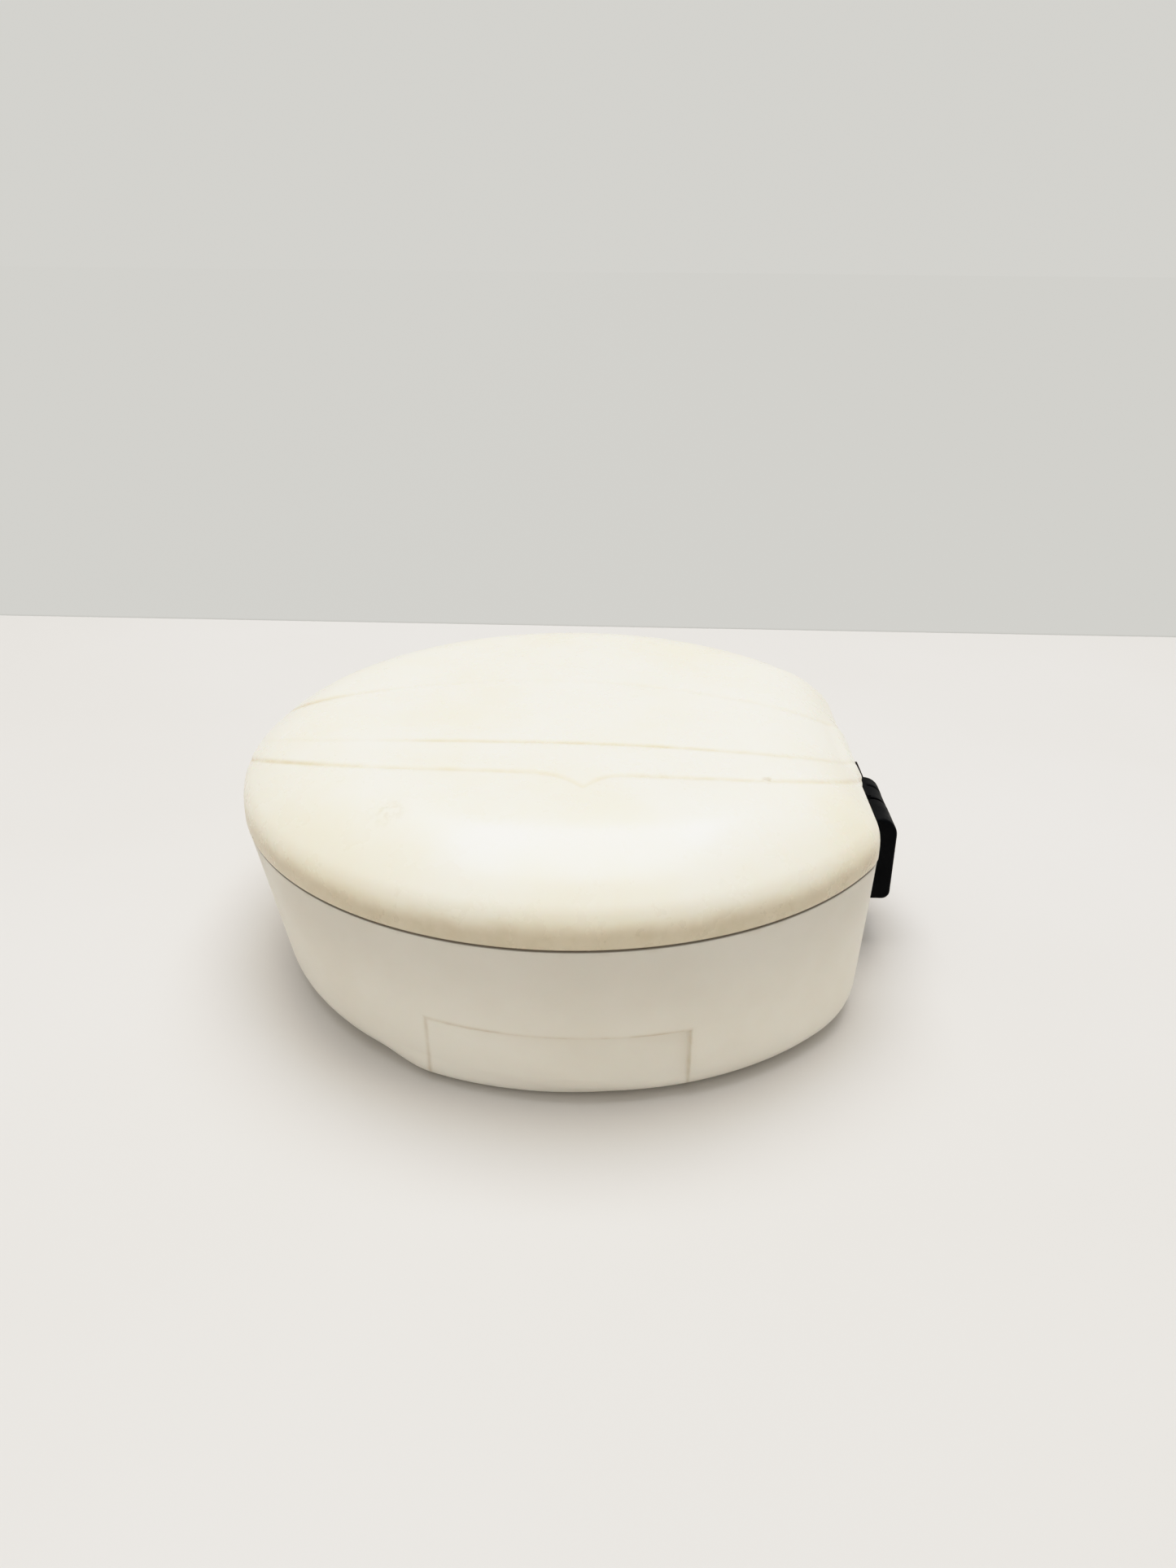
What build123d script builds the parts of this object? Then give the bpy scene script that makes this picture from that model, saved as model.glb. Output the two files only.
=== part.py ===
from build123d import *
from math import sqrt
import os

# A D-shaped hinged case and the mouthguard it holds. Millimetres, +Z up.
# The origin is the centre of the case's round side, on the underside.
# The flat hinge side faces +X and the catch is at the -X end.

# Case, overall
CASE_RADIUS = 40.0
FLAT_CUT = 5.35           # how much of the circle the flat side takes away
CORNER = 8.3              # rounding where the flat side meets the round one
BASE_HEIGHT = 20.0        # underside to parting line
LID_HEIGHT = 9.5
WALL = 2.2
FLOOR = 2.2
PARTING_GAP = 0.1

# Base: the walls lean in towards the underside
BASE_INSET = 0.1          # the base stands this far inside the lid's edge
SIDE_DRAFT = 2.0
CATCH_DRAFT = 4.1
FLAT_DRAFT = 0.65
CORNER_GROWTH = 10.2      # how much rounder the two corners are at the underside
CORNER_SHARE = 0.9        # largest corner, as a share of half the flat side
BASE_EDGE = 5.0
CAVITY_EDGE = 3.0

# Feet and recesses in the base's wall
FOOT_INSET = 2.4
FOOT_WIDTH = 33.0
FOOT_HEIGHT = 3.5
FOOT_EDGE = 2.5
PANEL_WIDTH = 27.2
PANEL_DROP = 11.0         # parting line to the top of the grip panel
PANEL_INSET = 1.7
THUMB_WIDTH = 27.2
THUMB_DROP = 1.5
THUMB_HEIGHT = 10.5
THUMB_DEPTH = 0.9

# Lid: straight sides, a sloping shoulder and a flat middle
SHOULDER_RISE = 3.9       # parting line to where the straight side would meet the slope
SHOULDER_WIDTH = 7.3      # side to the flat middle
SHOULDER_EDGE = 4.5
SHOULDER_INNER_EDGE = 2.0
TOP_EDGE = 2.0

# Lapped joint between base and lid
RIM_THICKNESS = 1.0
LIP_GAP = 0.3
LIP_HEIGHT = 1.5
BEAD_PROUD = 0.2
BEAD_HEIGHT = 0.6
BEAD_WIDTH = 12.0

# Hinge
HINGE_WIDTH = 12.6
HINGE_DROP = 12.9         # parting line to the bracket's lower edge
PIN_OUT = 2.6             # flat side to pin centre
PIN_DROP = 4.2            # parting line to pin centre
KNUCKLE_RADIUS = 2.4
NEAR_KNUCKLE = 5.9
LEAF_KNUCKLE = 3.3
KNUCKLE_GAP = 0.4
KNUCKLE_EDGE = 0.35
SLOT_CLEARANCE = 0.4
PIN_RADIUS = 1.0
PIN_RUNNING = 0.05
PIN_SEAT = 0.02
PIN_COVER = 1.6           # plastic left over the pin's blind end
PIN_RECESS = 0.3

# Leaf plate, let into the lid's flat wall
PLATE_WIDTH = 10.0
PLATE_DEPTH = 2.0
PLATE_FIT = 0.05
PLATE_SKIN = 0.75         # lid plastic left outside the plate
PLATE_STEP = 0.7          # height of the plate's full thickness above the lapped joint
ARM_GAP = 0.3
ARM_THICKNESS = 1.3
WEB_HEIGHT = 0.7

# Screws, driven from inside the case
SCREW_RADIUS = 0.6
SCREW_FIT = 0.03
HEAD_RADIUS = 1.25
HEAD_HEIGHT = 1.0
DRIVE_WIDTH = 0.45
DRIVE_DEPTH = 0.5
BRACKET_SCREW_DROP = 10.0
BRACKET_SCREW_SPACING = 7.2
BRACKET_SCREW_BITE = 2.8
LEAF_SCREW_COVER = 0.55   # plastic above and below a leaf screw
LEAF_SCREW_SPACING = 6.4
LEAF_SCREW_BITE = 0.5
BASE_BOSS = 1.1           # thickness of the screw bosses inside the walls
LID_BOSS = 2.9
BOSS_MARGIN = 1.35
LIP_TOP_CLEARANCE = 0.3

# Mouthguard, stored with its tooth channel up
GUARD_SIDE_GAP = 7.8
GUARD_CATCH_GAP = 6.7
GUARD_HINGE_GAP = 10.7
GUARD_HEIGHT = 18.0
GUARD_WIDTH = 13.0        # across the bite
GUARD_TONGUE_HEIGHT = 11.0
GUARD_REST = 0.2
SHELL_WALL = 2.2
SHELL_TONGUE_WALL = 1.6
SHELL_BASE = 2.4
LINER_WALL = 1.6
LINER_TONGUE_WALL = 1.4
LINER_BASE = 1.6
LINER_DROP = 1.0          # rim of the shell above the liner

FLAT_X = CASE_RADIUS - FLAT_CUT
BASE_FLAT_X = FLAT_X - BASE_INSET
LID_BOTTOM = BASE_HEIGHT + PARTING_GAP
LID_TOP = LID_BOTTOM + LID_HEIGHT
SHOULDER_Z = LID_BOTTOM + SHOULDER_RISE
SHOULDER_SLOPE = (LID_HEIGHT - SHOULDER_RISE) / SHOULDER_WIDTH
SHOULDER_LENGTH = sqrt(1 + SHOULDER_SLOPE**2)
PIN_X = FLAT_X + PIN_OUT
PIN_Z = BASE_HEIGHT - PIN_DROP
BRACKET_OUT = PIN_X + KNUCKLE_RADIUS
FAR = 2 * CASE_RADIUS

# Knuckles along the pin
HINGE_NEAR_Y = -HINGE_WIDTH / 2
HINGE_FAR_Y = HINGE_WIDTH / 2
LEAF_NEAR_Y = HINGE_NEAR_Y + NEAR_KNUCKLE + KNUCKLE_GAP
LEAF_FAR_Y = LEAF_NEAR_Y + LEAF_KNUCKLE

# Screw bosses
BRACKET_SCREW_Z = BASE_HEIGHT - BRACKET_SCREW_DROP
BRACKET_SEAT_X = BASE_FLAT_X - FLAT_DRAFT - WALL - BASE_BOSS
PLATE_BACK_X = FLAT_X - PLATE_DEPTH
LEAF_SEAT_X = PLATE_BACK_X - LID_BOSS
LID_BOSS_Z = LID_BOTTOM + LIP_HEIGHT + LIP_TOP_CLEARANCE
LEAF_SCREW_Z = LID_BOSS_Z + LEAF_SCREW_COVER + SCREW_RADIUS
PLATE_TOP = LEAF_SCREW_Z + SCREW_RADIUS + LEAF_SCREW_COVER
SKIN_X = FLAT_X - PLATE_SKIN
SKIN_Z = LID_BOSS_Z + PLATE_STEP

# Mouthguard: a half-ellipse arch, its front teeth towards the catch
GUARD_HALF = CASE_RADIUS - BASE_INSET - SIDE_DRAFT - WALL - GUARD_SIDE_GAP
GUARD_FRONT_X = -(CASE_RADIUS - BASE_INSET - CATCH_DRAFT) + WALL + GUARD_CATCH_GAP
GUARD_REAR_X = BASE_FLAT_X - FLAT_DRAFT - WALL - GUARD_HINGE_GAP
GUARD_LENGTH = GUARD_REAR_X - GUARD_FRONT_X
GUARD_Z = FLOOR + GUARD_REST
LINER_Z = GUARD_Z + SHELL_BASE


def middle(limits):
    return (limits[0] + limits[1]) / 2


def span(limits):
    return limits[1] - limits[0]


def block(x, y, z, mode=Mode.ADD):
    """A block between the limits given along each axis."""
    with Locations((middle(x), middle(y), middle(z))):
        Box(span(x), span(y), span(z), mode=mode)


def rod_x(radius, x, y, z, mode=Mode.ADD):
    """A rod along X between two limits."""
    with Locations(Location((middle(x), y, z), (0, 90, 0))):
        Cylinder(radius, span(x), mode=mode)


def rod_y(radius, x, y, z, mode=Mode.ADD):
    """A rod along Y between two limits."""
    with Locations(Location((x, middle(y), z), (90, 0, 0))):
        Cylinder(radius, span(y), mode=mode)


def d_outline(radius, flat_x, corner, shift=0.0):
    """A circle cut by a chord, with its two corners rounded, in the open sketch."""
    with Locations((shift, 0)):
        Circle(radius)
    split(bisect_by=Plane.YZ.offset(flat_x), keep=Keep.BOTTOM)
    fillet(vertices(), corner)


def base_outline(height, inset):
    """The base's outline at a height, moved inwards by inset."""
    down = 1 - height / BASE_HEIGHT
    shift = (CATCH_DRAFT - SIDE_DRAFT) * down
    radius = CASE_RADIUS - BASE_INSET - SIDE_DRAFT * down
    flat_x = BASE_FLAT_X - FLAT_DRAFT * down
    flat_half = sqrt(radius**2 - (flat_x - shift) ** 2)
    corner = min(CORNER + CORNER_GROWTH * down, CORNER_SHARE * flat_half)
    d_outline(radius - inset, flat_x - inset, corner - inset, shift)


def lid_outline(inset):
    """The lid's outline, moved inwards by inset."""
    d_outline(CASE_RADIUS - inset, FLAT_X - inset, CORNER - inset)


def base_body(bottom, inset):
    """The space inside the base's walls, from a height up to the parting line."""
    with BuildPart() as body:
        with BuildSketch(Plane.XY.offset(bottom)):
            base_outline(bottom, inset)
        with BuildSketch(Plane.XY.offset(BASE_HEIGHT)):
            base_outline(BASE_HEIGHT, inset)
        loft(ruled=True)
    return body.part


def arch(outer_inset, inner_inset):
    """The arch between its lip side and its tongue side, each moved in, in the open sketch."""
    Ellipse(GUARD_LENGTH - outer_inset, GUARD_HALF - outer_inset)
    tongue = GUARD_WIDTH - inner_inset
    Ellipse(GUARD_LENGTH - tongue, GUARD_HALF - tongue, mode=Mode.SUBTRACT)
    split(bisect_by=Plane.YZ, keep=Keep.BOTTOM)


def arch_plane(height):
    return Plane((GUARD_REAR_X, 0, height))


def lid_body(inset):
    """The space inside the lid's outer surface, every side and the top moved in by inset."""
    side_top = SHOULDER_Z - inset * (SHOULDER_LENGTH - SHOULDER_SLOPE)
    slope_end = SHOULDER_WIDTH + inset * (SHOULDER_LENGTH - 1) / SHOULDER_SLOPE
    with BuildPart() as body:
        with BuildSketch(Plane.XY.offset(side_top)):
            lid_outline(inset)
        extrude(amount=LID_BOTTOM - side_top)
        with BuildSketch(Plane.XY.offset(side_top)):
            lid_outline(inset)
        with BuildSketch(Plane.XY.offset(LID_TOP - inset)):
            lid_outline(slope_end)
        loft(ruled=True)
    return body.part


def shoulder_foot(body):
    """The body's edges where its straight sides meet the shoulder."""
    return body.edges().group_by(Axis.Z)[-3]


def screws(places, seat_x, tip_x, z):
    """Pan-head screws along +X at the given places across, with cross drives."""
    with BuildPart() as group:
        for y in places:
            rod_x(SCREW_RADIUS, (seat_x, tip_x), y, z)
            rod_x(HEAD_RADIUS, (seat_x - HEAD_HEIGHT, seat_x), y, z)
        fillet(group.faces().sort_by(Axis.X)[:len(places)].edges(), HEAD_HEIGHT / 3)
        head = (seat_x - HEAD_HEIGHT, seat_x - HEAD_HEIGHT + DRIVE_DEPTH)
        for y in places:
            for across, up in ((HEAD_RADIUS / 2, DRIVE_WIDTH / 2), (DRIVE_WIDTH / 2, HEAD_RADIUS / 2)):
                block(head, (y - across, y + across), (z - up, z + up), mode=Mode.SUBTRACT)
    return group.part


def pair(spacing):
    return (-spacing / 2, spacing / 2)


# Base shell
with BuildPart() as feet:
    Cylinder(CASE_RADIUS - FOOT_INSET, FOOT_HEIGHT, align=(Align.CENTER, Align.CENTER, Align.MIN))
    fillet(feet.edges().group_by(Axis.Z)[0], FOOT_EDGE)
    block(pair(FOOT_WIDTH), (-FAR, FAR), (-FAR, FAR), mode=Mode.INTERSECT)

with BuildPart() as grip_panels:
    block(pair(PANEL_WIDTH), (-FAR, FAR), (FOOT_HEIGHT, BASE_HEIGHT - PANEL_DROP))
    Cylinder(CASE_RADIUS - PANEL_INSET, FAR, mode=Mode.SUBTRACT)

with BuildPart() as thumb_recess:
    thumb_top = BASE_HEIGHT - THUMB_DROP
    block((-FAR, 0), pair(THUMB_WIDTH), (thumb_top - THUMB_HEIGHT, thumb_top))
    add(base_body(0, THUMB_DEPTH), mode=Mode.SUBTRACT)

with BuildPart() as base_solid:
    add(base_body(0, 0))
    fillet(base_solid.edges().group_by(Axis.Z)[0], BASE_EDGE)
    add(feet.part)

with BuildPart() as cavity:
    add(base_body(FLOOR, WALL))
    fillet(cavity.edges().group_by(Axis.Z)[0], CAVITY_EDGE)

with BuildPart() as snap_bead:
    with BuildSketch(Plane.XY.offset(BASE_HEIGHT + LIP_HEIGHT / 2)):
        lid_outline(RIM_THICKNESS + LIP_GAP - BEAD_PROUD)
    extrude(amount=BEAD_HEIGHT)
    block((-FAR, 0), pair(BEAD_WIDTH), (0, FAR), mode=Mode.INTERSECT)
    with BuildSketch(Plane.XY):
        lid_outline(WALL)
    extrude(amount=FAR, mode=Mode.SUBTRACT)

with BuildPart() as base_shell:
    add(base_solid.part)
    add(grip_panels.part, mode=Mode.SUBTRACT)
    add(thumb_recess.part, mode=Mode.SUBTRACT)
    with BuildSketch(Plane.XY.offset(BASE_HEIGHT)):
        lid_outline(RIM_THICKNESS + LIP_GAP)
        with BuildSketch(mode=Mode.SUBTRACT):
            base_outline(BASE_HEIGHT, WALL)
    extrude(amount=LIP_HEIGHT)
    add(cavity.part, mode=Mode.SUBTRACT)
    add(snap_bead.part)
    boss_z = (BRACKET_SCREW_Z - HEAD_RADIUS - BOSS_MARGIN, BRACKET_SCREW_Z + HEAD_RADIUS + BOSS_MARGIN)
    block((BRACKET_SEAT_X, BASE_FLAT_X - WALL), pair(HINGE_WIDTH), boss_z)
    for y in pair(BRACKET_SCREW_SPACING):
        rod_x(SCREW_RADIUS + SCREW_FIT, (BRACKET_SEAT_X, FAR), y, BRACKET_SCREW_Z, mode=Mode.SUBTRACT)
base_shell.part.label = "base_shell"

# Hinge bracket on the base, with the near and far knuckles
with BuildPart() as hinge_bracket:
    with BuildSketch(Plane.XZ) as section:
        outer = (BASE_FLAT_X - WALL, BRACKET_OUT)
        upper = (BASE_HEIGHT - HINGE_DROP, PIN_Z + KNUCKLE_RADIUS)
        with Locations((middle(outer), middle(upper))):
            Rectangle(span(outer), span(upper))
        fillet(section.vertices().group_by(Axis.X)[-1].sort_by(Axis.Y)[-1], KNUCKLE_RADIUS - 0.1)
        fillet(section.vertices().group_by(Axis.X)[-1].sort_by(Axis.Y)[0], 1.0)
    extrude(amount=HINGE_WIDTH / 2, both=True)
    slot_y = (LEAF_NEAR_Y - KNUCKLE_GAP, LEAF_FAR_Y + KNUCKLE_GAP)
    block((0, FAR), slot_y, (PIN_Z - KNUCKLE_RADIUS - SLOT_CLEARANCE, FAR), mode=Mode.SUBTRACT)
    fillet(hinge_bracket.edges().group_by(Axis.Z)[-1].filter_by(Axis.X), KNUCKLE_EDGE)
    add(base_body(0, 0), mode=Mode.SUBTRACT)
    rod_y(PIN_RADIUS + PIN_SEAT, PIN_X, (HINGE_NEAR_Y + PIN_COVER, FAR), PIN_Z, mode=Mode.SUBTRACT)
    for y in pair(BRACKET_SCREW_SPACING):
        tip_x = BASE_FLAT_X + BRACKET_SCREW_BITE
        rod_x(SCREW_RADIUS + SCREW_FIT, (0, tip_x + SCREW_FIT), y, BRACKET_SCREW_Z, mode=Mode.SUBTRACT)
hinge_bracket.part.label = "hinge_bracket"

# Hinge pin, blind at the near end
with BuildPart() as hinge_pin:
    rod_y(PIN_RADIUS, PIN_X, (HINGE_NEAR_Y + PIN_COVER, HINGE_FAR_Y - PIN_RECESS), PIN_Z)
    fillet(hinge_pin.edges().filter_by(GeomType.CIRCLE), PIN_RADIUS / 4)
hinge_pin.part.label = "hinge_pin"

# Lid
with BuildPart() as lid_solid:
    add(lid_body(0))
    fillet(shoulder_foot(lid_solid), SHOULDER_EDGE)
    fillet(lid_solid.edges().group_by(Axis.Z)[-1], TOP_EDGE)

with BuildPart() as lid_cavity:
    add(lid_body(WALL))
    fillet(shoulder_foot(lid_cavity), SHOULDER_INNER_EDGE)
    block((LEAF_SEAT_X, FAR), pair(HINGE_WIDTH), (LID_BOSS_Z, FAR), mode=Mode.SUBTRACT)
    with BuildSketch(Plane.XY.offset(LID_BOTTOM)):
        lid_outline(RIM_THICKNESS)
    extrude(amount=LIP_HEIGHT + LIP_TOP_CLEARANCE)

with BuildPart() as lid_shell:
    add(lid_solid.part)
    add(lid_cavity.part, mode=Mode.SUBTRACT)
    pocket_back, pocket_y = PLATE_BACK_X - PLATE_FIT, pair(PLATE_WIDTH + 2 * PLATE_FIT)
    block((pocket_back, SKIN_X + PLATE_FIT), pocket_y, (0, PLATE_TOP + PLATE_FIT), mode=Mode.SUBTRACT)
    block((pocket_back, FAR), pocket_y, (0, SKIN_Z + PLATE_FIT), mode=Mode.SUBTRACT)
    for y in pair(LEAF_SCREW_SPACING):
        rod_x(SCREW_RADIUS + SCREW_FIT, (LEAF_SEAT_X, FAR), y, LEAF_SCREW_Z, mode=Mode.SUBTRACT)
lid_shell.part.label = "lid_shell"

# Hinge leaf: a plate in the lid's wall, an arm and the middle knuckle
with BuildPart() as hinge_leaf:
    block((PLATE_BACK_X, FLAT_X), pair(PLATE_WIDTH), (LID_BOTTOM, PLATE_TOP))
    block((SKIN_X, FAR), pair(FAR), (SKIN_Z, FAR), mode=Mode.SUBTRACT)
    step_x = FLAT_X - RIM_THICKNESS
    block((0, step_x), (-FAR, FAR), (0, LID_BOSS_Z), mode=Mode.SUBTRACT)
    arm_x = (BASE_FLAT_X + ARM_GAP, BASE_FLAT_X + ARM_GAP + ARM_THICKNESS)
    web_top = LID_BOTTOM + WEB_HEIGHT
    block((step_x, arm_x[1]), pair(PLATE_WIDTH), (LID_BOTTOM, web_top))
    block(arm_x, (LEAF_NEAR_Y, LEAF_FAR_Y), (PIN_Z, web_top))
    rod_y(KNUCKLE_RADIUS, PIN_X, (LEAF_NEAR_Y, LEAF_FAR_Y), PIN_Z)
    rod_y(PIN_RADIUS + PIN_RUNNING, PIN_X, (-FAR, FAR), PIN_Z, mode=Mode.SUBTRACT)
    for y in pair(LEAF_SCREW_SPACING):
        tip_x = PLATE_BACK_X + LEAF_SCREW_BITE + SCREW_FIT
        rod_x(SCREW_RADIUS + SCREW_FIT, (0, tip_x), y, LEAF_SCREW_Z, mode=Mode.SUBTRACT)
hinge_leaf.part.label = "hinge_leaf"

# Screws
bracket_screws = screws(
    pair(BRACKET_SCREW_SPACING), BRACKET_SEAT_X, BASE_FLAT_X + BRACKET_SCREW_BITE, BRACKET_SCREW_Z
)
bracket_screws.label = "bracket_screws"
leaf_screws = screws(pair(LEAF_SCREW_SPACING), LEAF_SEAT_X, PLATE_BACK_X + LEAF_SCREW_BITE, LEAF_SCREW_Z)
leaf_screws.label = "leaf_screws"

# Mouthguard, shell and liner
with BuildPart() as mouthguard_shell:
    with BuildSketch(arch_plane(GUARD_Z)):
        arch(0, 0)
    extrude(amount=GUARD_HEIGHT)
    with BuildSketch(arch_plane(LINER_Z)):
        arch(SHELL_WALL, SHELL_TONGUE_WALL)
    extrude(amount=GUARD_HEIGHT, mode=Mode.SUBTRACT)
    with BuildSketch(arch_plane(GUARD_Z + GUARD_TONGUE_HEIGHT)):
        arch(SHELL_WALL, 0)
    extrude(amount=GUARD_HEIGHT, mode=Mode.SUBTRACT)
mouthguard_shell.part.label = "mouthguard_shell"

with BuildPart() as mouthguard_liner:
    with BuildSketch(arch_plane(LINER_Z)):
        arch(SHELL_WALL, SHELL_TONGUE_WALL)
    extrude(amount=GUARD_HEIGHT - SHELL_BASE - LINER_DROP)
    with BuildSketch(arch_plane(LINER_Z + LINER_BASE)):
        arch(SHELL_WALL + LINER_WALL, SHELL_TONGUE_WALL + LINER_TONGUE_WALL)
    extrude(amount=GUARD_HEIGHT, mode=Mode.SUBTRACT)
    with BuildSketch(arch_plane(GUARD_Z + GUARD_TONGUE_HEIGHT)):
        arch(SHELL_WALL + LINER_WALL, 0)
    extrude(amount=GUARD_HEIGHT, mode=Mode.SUBTRACT)
mouthguard_liner.part.label = "mouthguard_liner"

pieces = [
    base_shell.part,
    lid_shell.part,
    hinge_bracket.part,
    hinge_leaf.part,
    hinge_pin.part,
    bracket_screws,
    leaf_screws,
    mouthguard_shell.part,
    mouthguard_liner.part,
]

os.makedirs("parts", exist_ok=True)
for piece in pieces:
    export_step(piece, f"parts/{piece.label}.step")
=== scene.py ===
import math

import bmesh
import bpy
import numpy as np
from mathutils import Matrix, Vector


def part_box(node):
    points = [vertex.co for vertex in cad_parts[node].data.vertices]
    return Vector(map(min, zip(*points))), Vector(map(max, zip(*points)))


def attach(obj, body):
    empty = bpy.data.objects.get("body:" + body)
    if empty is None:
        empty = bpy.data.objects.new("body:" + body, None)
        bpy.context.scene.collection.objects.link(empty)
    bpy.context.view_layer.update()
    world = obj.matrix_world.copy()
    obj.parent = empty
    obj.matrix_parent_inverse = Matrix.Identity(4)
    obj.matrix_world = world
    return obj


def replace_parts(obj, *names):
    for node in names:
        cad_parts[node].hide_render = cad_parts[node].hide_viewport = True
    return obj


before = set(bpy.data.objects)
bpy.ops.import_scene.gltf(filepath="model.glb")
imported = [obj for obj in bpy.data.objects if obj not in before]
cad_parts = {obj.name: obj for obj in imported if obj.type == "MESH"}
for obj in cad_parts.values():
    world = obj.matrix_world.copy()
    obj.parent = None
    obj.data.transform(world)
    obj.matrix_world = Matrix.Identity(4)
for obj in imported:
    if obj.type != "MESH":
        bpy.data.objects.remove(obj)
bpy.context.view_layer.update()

MM = 0.001


def node_box(name):
    """A node's lowest and highest corners at rest, in millimetres."""
    return [np.array(corner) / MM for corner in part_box(name)]


lid_low, lid_high = node_box("lid_shell")
leaf_low, leaf_high = node_box("hinge_leaf")
bracket_low, bracket_high = node_box("hinge_bracket")
guard_low, guard_high = node_box("mouthguard_shell")
leaf_screw_low, _ = node_box("leaf_screws")
bracket_screw_low, bracket_screw_high = node_box("bracket_screws")

# The case, in millimetres: the outer limits come from the frame, the rest repeats the part's own sizes
CASE_RADIUS = lid_high[1]
FLAT_X = lid_high[0]
LID_BOTTOM = lid_low[2]
LID_TOP = lid_high[2]
LIP_HEIGHT = 1.5
BASE_TOP = node_box("base_shell")[1][2] - LIP_HEIGHT
CORNER = 8.3              # corner radius where the flat side meets the round one
WALL = 2.2
FLOOR = 2.2
RIM_THICKNESS = 1.0
LIP_GAP = 0.3
LIP_TOP_CLEARANCE = 0.3
HEAD_HEIGHT = 1.0         # screw heads
FIT = 0.05                # room round the hinge leaf

# The lid's outer profile: a straight band, a tight shoulder and a wide crown
RIM_BAND = 1.7
SHOULDER_RADIUS = 4.0
SHOULDER_TURN = math.radians(45)
BAND_TOP = LID_BOTTOM + RIM_BAND
CROWN_RISE = LID_TOP - BAND_TOP - SHOULDER_RADIUS * math.sin(SHOULDER_TURN)
CROWN_RADIUS = CROWN_RISE / (1 - math.cos(SHOULDER_TURN))
CREASE_INSET = SHOULDER_RADIUS * (1 - math.cos(SHOULDER_TURN))
FLAT_INSET = CREASE_INSET + CROWN_RADIUS * math.sin(SHOULDER_TURN)

# The lid's inside, which slopes as the part's does
SHOULDER_RISE = 3.9
SHOULDER_WIDTH = 7.3
CEILING_EDGE = 2.0
BOSS_Z = LID_BOTTOM + LIP_HEIGHT + LIP_TOP_CLEARANCE
PLATE_SKIN = 0.75         # lid plastic outside the hinge leaf's plate
PLATE_STEP = 0.7
PLATE_COVER = 0.35        # swelling of the lid over the plate
PLATE_COVER_HALF = 6.5

# The base's wall leans in towards the floor, more at the catch and less on the flat side
BASE_INSET = 0.1
SIDE_DRAFT = 2.0
CATCH_DRAFT = 4.1
FLAT_DRAFT = 0.65
CORNER_GROWTH = 10.2
BASE_EDGE = 3.5
CAVITY_EDGE = 3.0


# ---------------------------------------------------------------- mesh helpers
SHARP_ANGLE = math.radians(35)


def smooth(low, high, x):
    """0 below low, 1 above high, and a smooth ramp between."""
    t = np.clip((np.asarray(x, float) - low) / (high - low), 0, 1)
    return t * t * (3 - 2 * t)


def bump(centre, half_width, edge, x):
    """1 within half_width of centre, 0 outside it, with soft edges."""
    return 1 - smooth(half_width - edge / 2, half_width + edge / 2, np.abs(np.asarray(x) - centre))


def make_object(name, verts_mm, faces, attributes=None):
    """A smooth mesh object in the scene, with one value at each point for every attribute."""
    mesh = bpy.data.meshes.new(name)
    mesh.from_pydata((np.asarray(verts_mm) * MM).tolist(), [], faces)
    for key, values in (attributes or {}).items():
        layer = mesh.attributes.new(key, "FLOAT", "POINT")
        layer.data.foreach_set("value", np.asarray(values, np.float32))
    obj = bpy.data.objects.new(name, mesh)
    bpy.context.scene.collection.objects.link(obj)
    work = bmesh.new()
    work.from_mesh(mesh)
    bmesh.ops.recalc_face_normals(work, faces=work.faces)
    work.to_mesh(mesh)
    work.free()
    mesh.shade_smooth()
    return obj


def ring_object(name, rings, attributes=None):
    """A mesh through a stack of rings of equal size, closed at both ends."""
    size = len(rings[0])
    i = np.arange(size)
    j = (i + 1) % size
    faces = []
    for a in range(0, size * (len(rings) - 1), size):
        b = a + size
        faces.extend(np.stack([a + i, a + j, b + j, b + i], 1).tolist())
    faces.append(i.tolist())
    faces.append((i + size * (len(rings) - 1))[::-1].tolist())
    return make_object(name, np.vstack(rings), faces, attributes)


def rounded_path(corners, step=0.5):
    """A path through (inset, height, radius) corners, with arcs at the corners and points every step."""
    points = [np.array(corners[0][:2], float)]

    def run_to(target):
        start = points[-1]
        count = max(1, math.ceil(np.linalg.norm(target - start) / step))
        points.extend(start + (target - start) * k / count for k in range(1, count + 1))

    for before, corner, after in zip(corners, corners[1:], corners[2:]):
        p, radius = np.array(corner[:2], float), corner[2]
        a, b = np.array(before[:2], float) - p, np.array(after[:2], float) - p
        a, b = a / np.linalg.norm(a), b / np.linalg.norm(b)
        half = math.acos(np.clip(a @ b, -1, 1)) / 2
        reach = radius / math.tan(half)
        centre = p + (a + b) / np.linalg.norm(a + b) * radius / math.sin(half)
        run_to(p + a * reach)
        start, end = p + a * reach - centre, p + b * reach - centre
        turn = math.pi - 2 * half
        count = max(3, math.ceil(radius * turn / step))
        for k in range(1, count + 1):
            t = k / count
            mix = (math.sin((1 - t) * turn) * start + math.sin(t * turn) * end) / math.sin(turn)
            points.append(centre + mix)
    run_to(np.array(corners[-1][:2], float))
    return np.array(points)


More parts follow.
